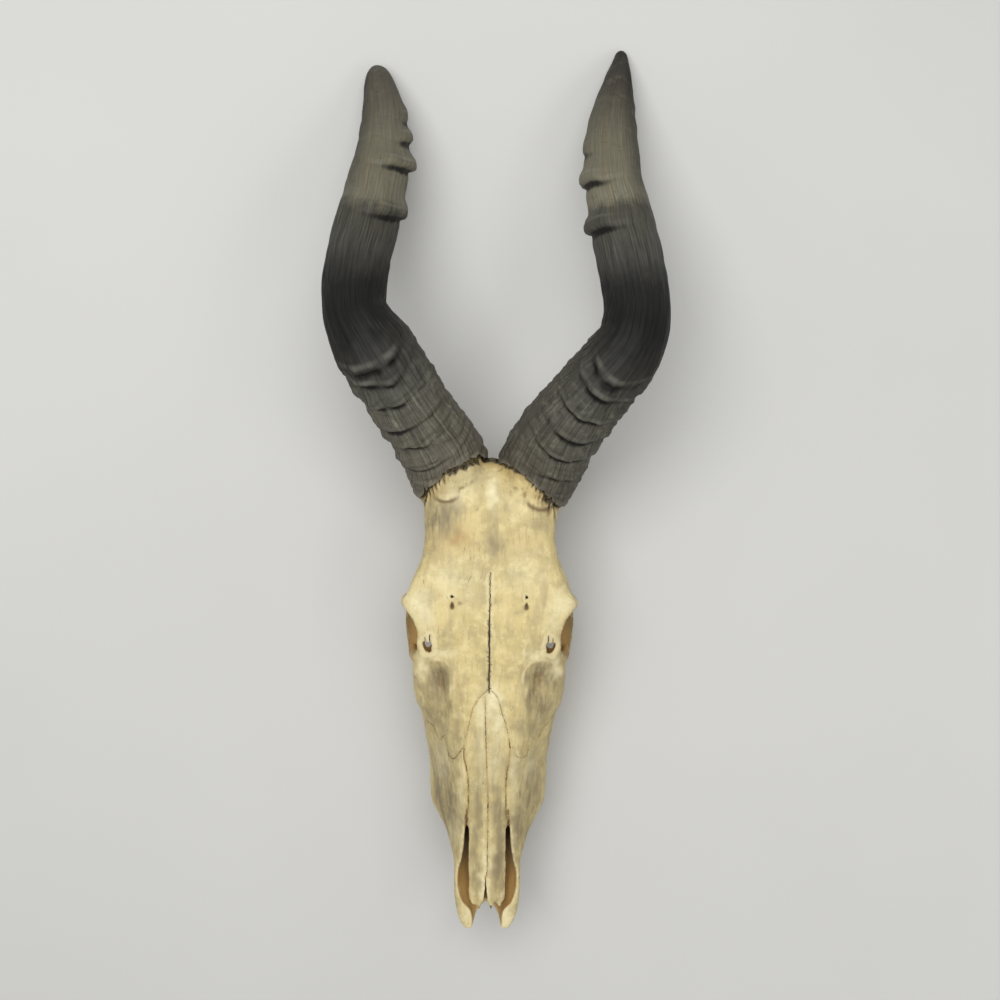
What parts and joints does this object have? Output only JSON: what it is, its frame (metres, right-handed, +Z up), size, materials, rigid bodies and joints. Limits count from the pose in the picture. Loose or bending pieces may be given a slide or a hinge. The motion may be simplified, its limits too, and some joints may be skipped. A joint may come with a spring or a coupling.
{
  "type": "red hartebeest skull",
  "caption": "Long-faced antelope skull with ringed, sharply bent horns and worn upper cheek teeth, lying with its forehead up.",
  "frame": {"origin": "on the floor, under the middle of the bounding box", "axes": "+Y from the snout to the horn tips, +X to the animal's left, +Z up from the floor through the forehead"},
  "size_m": [0.31, 0.8401, 0.2084],
  "materials": {
    "bone": "matte",
    "horn": "satin",
    "tooth": "satin"
  },
  "bodies": {
    "root": {"skull": "bone", "horn_sheath_left": "horn", "horn_sheath_right": "horn", "tooth_left_m3": "tooth", "tooth_left_m2": "tooth", "tooth_left_m1": "tooth", "tooth_left_p4": "tooth", "tooth_left_p3": "tooth", "tooth_left_p2": "tooth", "tooth_right_m3": "tooth", "tooth_right_m2": "tooth", "tooth_right_m1": "tooth", "tooth_right_p4": "tooth", "tooth_right_p3": "tooth", "tooth_right_p2": "tooth"}
  },
  "joints": []
}
